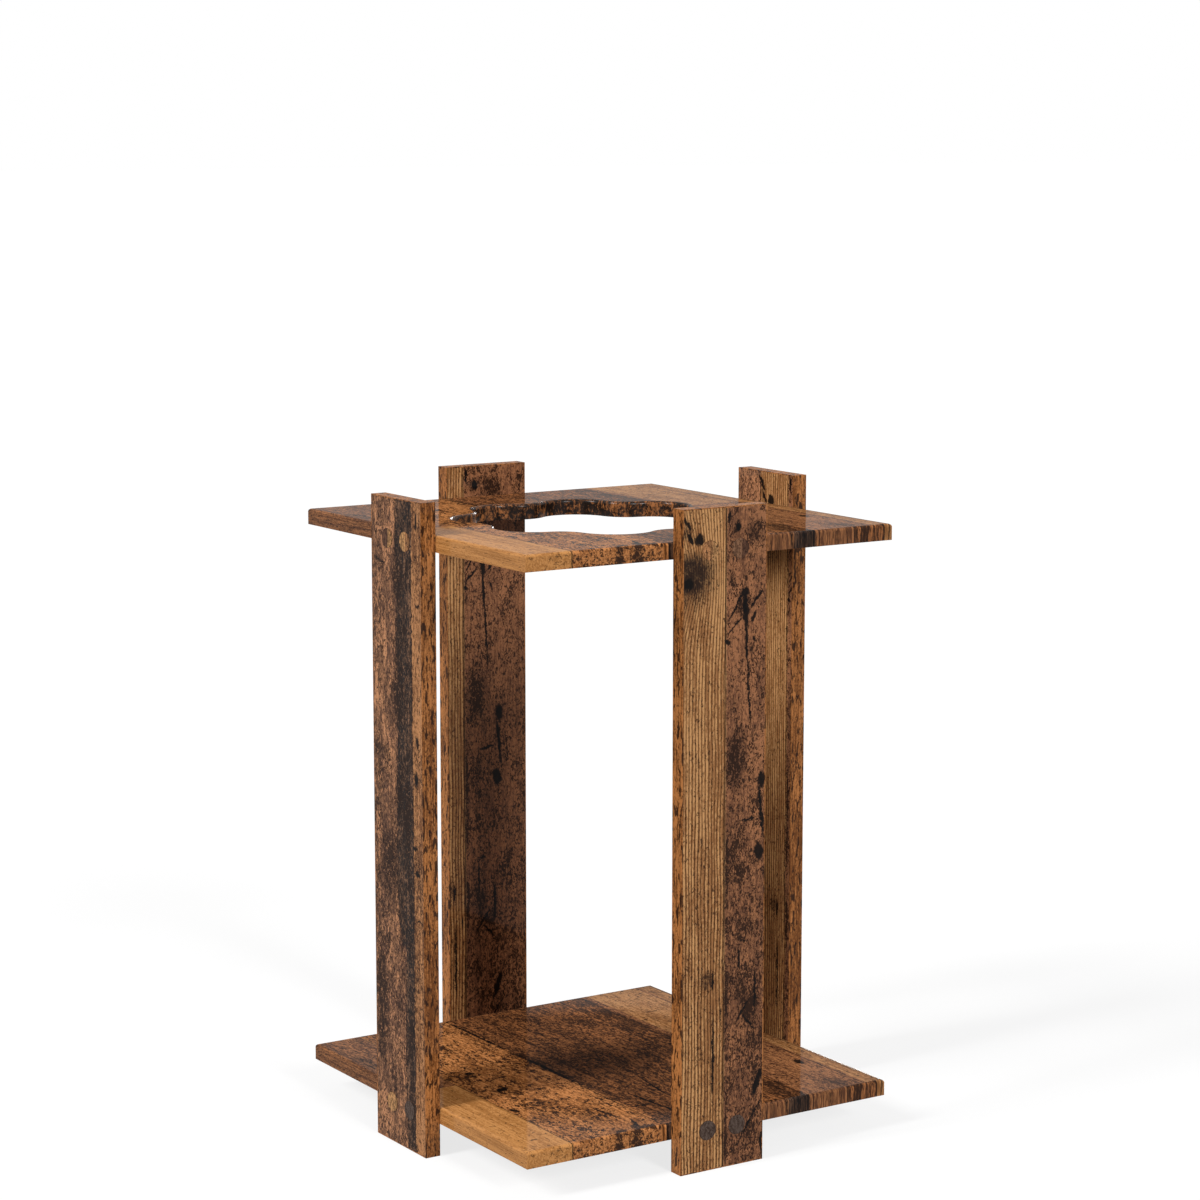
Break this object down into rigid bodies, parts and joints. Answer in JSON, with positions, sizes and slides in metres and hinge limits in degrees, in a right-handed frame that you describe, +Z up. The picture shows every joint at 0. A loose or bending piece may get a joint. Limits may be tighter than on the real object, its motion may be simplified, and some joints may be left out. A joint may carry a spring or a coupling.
{
  "type": "rod rack",
  "caption": "Free-standing square rack for fishing rods: two boards between four flat legs, the top board with a large scalloped opening that rods lean in.",
  "frame": {"origin": "on the floor at the middle of the rack, under the centre of the opening", "axes": "+Z up, -Y towards the front leg, -X towards the left leg"},
  "size_m": [0.424, 0.424, 0.6],
  "materials": {
    "leg_panel": "decor-faced panel, reclaimed wood look, satin",
    "board_panel": "decor-faced panel, reclaimed wood look, glossy",
    "leg_edging": "thin edging, reclaimed wood look, satin",
    "board_edging": "thick edging with a rounded upper arris, reclaimed wood look, glossy",
    "screw_steel": "zinc plated",
    "screw_cover": "stick-on disc, printed wood look, matt"
  },
  "bodies": {
    "root": {"front_leg": "leg_panel", "front_leg_side_edging": "leg_edging", "front_leg_end_edging": "leg_edging", "front_top_screws": "screw_steel", "front_top_covers": "screw_cover", "front_base_screws": "screw_steel", "front_base_covers": "screw_cover", "left_leg": "leg_panel", "left_leg_side_edging": "leg_edging", "left_leg_end_edging": "leg_edging", "left_top_screws": "screw_steel", "left_top_covers": "screw_cover", "left_base_screws": "screw_steel", "left_base_covers": "screw_cover", "back_leg": "leg_panel", "back_leg_side_edging": "leg_edging", "back_leg_end_edging": "leg_edging", "back_top_screws": "screw_steel", "back_top_covers": "screw_cover", "back_base_screws": "screw_steel", "back_base_covers": "screw_cover", "right_leg": "leg_panel", "right_leg_side_edging": "leg_edging", "right_leg_end_edging": "leg_edging", "right_top_screws": "screw_steel", "right_top_covers": "screw_cover", "right_base_screws": "screw_steel", "right_base_covers": "screw_cover", "top_board": "board_panel", "top_board_front_edging": "board_edging", "top_board_left_edging": "board_edging", "top_board_back_edging": "board_edging", "top_board_right_edging": "board_edging", "base_board": "board_panel", "base_board_front_edging": "board_edging", "base_board_left_edging": "board_edging", "base_board_back_edging": "board_edging", "base_board_right_edging": "board_edging", "opening_edging": "board_edging"}
  },
  "joints": []
}
